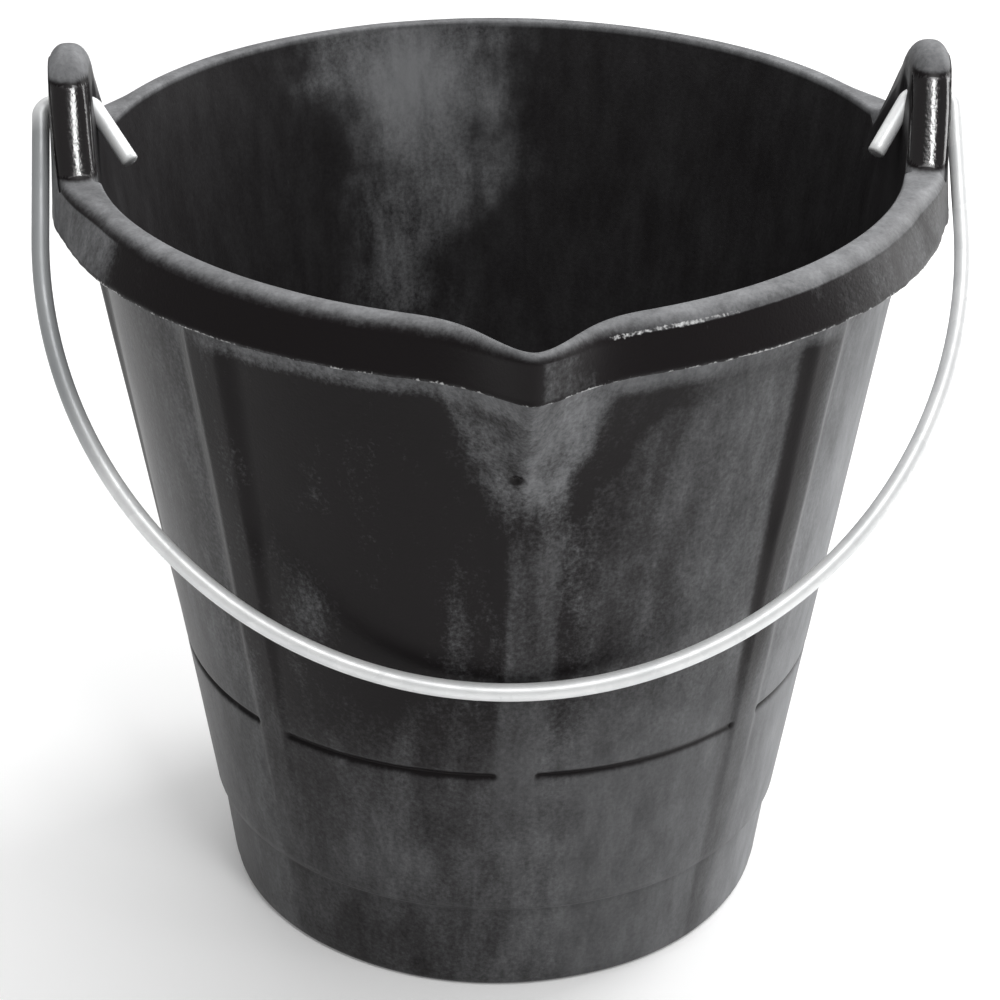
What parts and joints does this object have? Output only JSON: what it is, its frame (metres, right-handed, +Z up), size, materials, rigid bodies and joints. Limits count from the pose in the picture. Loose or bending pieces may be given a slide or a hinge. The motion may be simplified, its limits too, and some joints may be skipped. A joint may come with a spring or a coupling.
{
  "type": "rubber bucket",
  "caption": "Black moulded rubber bucket with tapered ribbed wall, thick rim, pouring lip and upright ears that carry a swinging galvanised wire bail, for carrying and pouring loads by hand.",
  "frame": {"origin": "centre of the flat underside, on the surface that the bucket stands on", "axes": "+Z up along the bucket's axis, -Y towards the pouring lip, X along the axis of the bail's holes in the two ears"},
  "size_m": [0.3324, 0.3407, 0.334],
  "materials": {
    "rubber": "black moulded rubber, satin with dusty scuffs",
    "galvanised_wire": "galvanised steel wire, satin"
  },
  "bodies": {
    "bucket": {"bucket_body": "rubber"},
    "bail": {"wire_bail": "galvanised_wire"}
  },
  "joints": [
    {"name": "bail_swing", "type": "hinge", "parent": "bucket", "child": "bail", "pos_m": [0, 0, 0.313], "axis": [-1, 0, 0], "range_deg": [0, 283]}
  ]
}
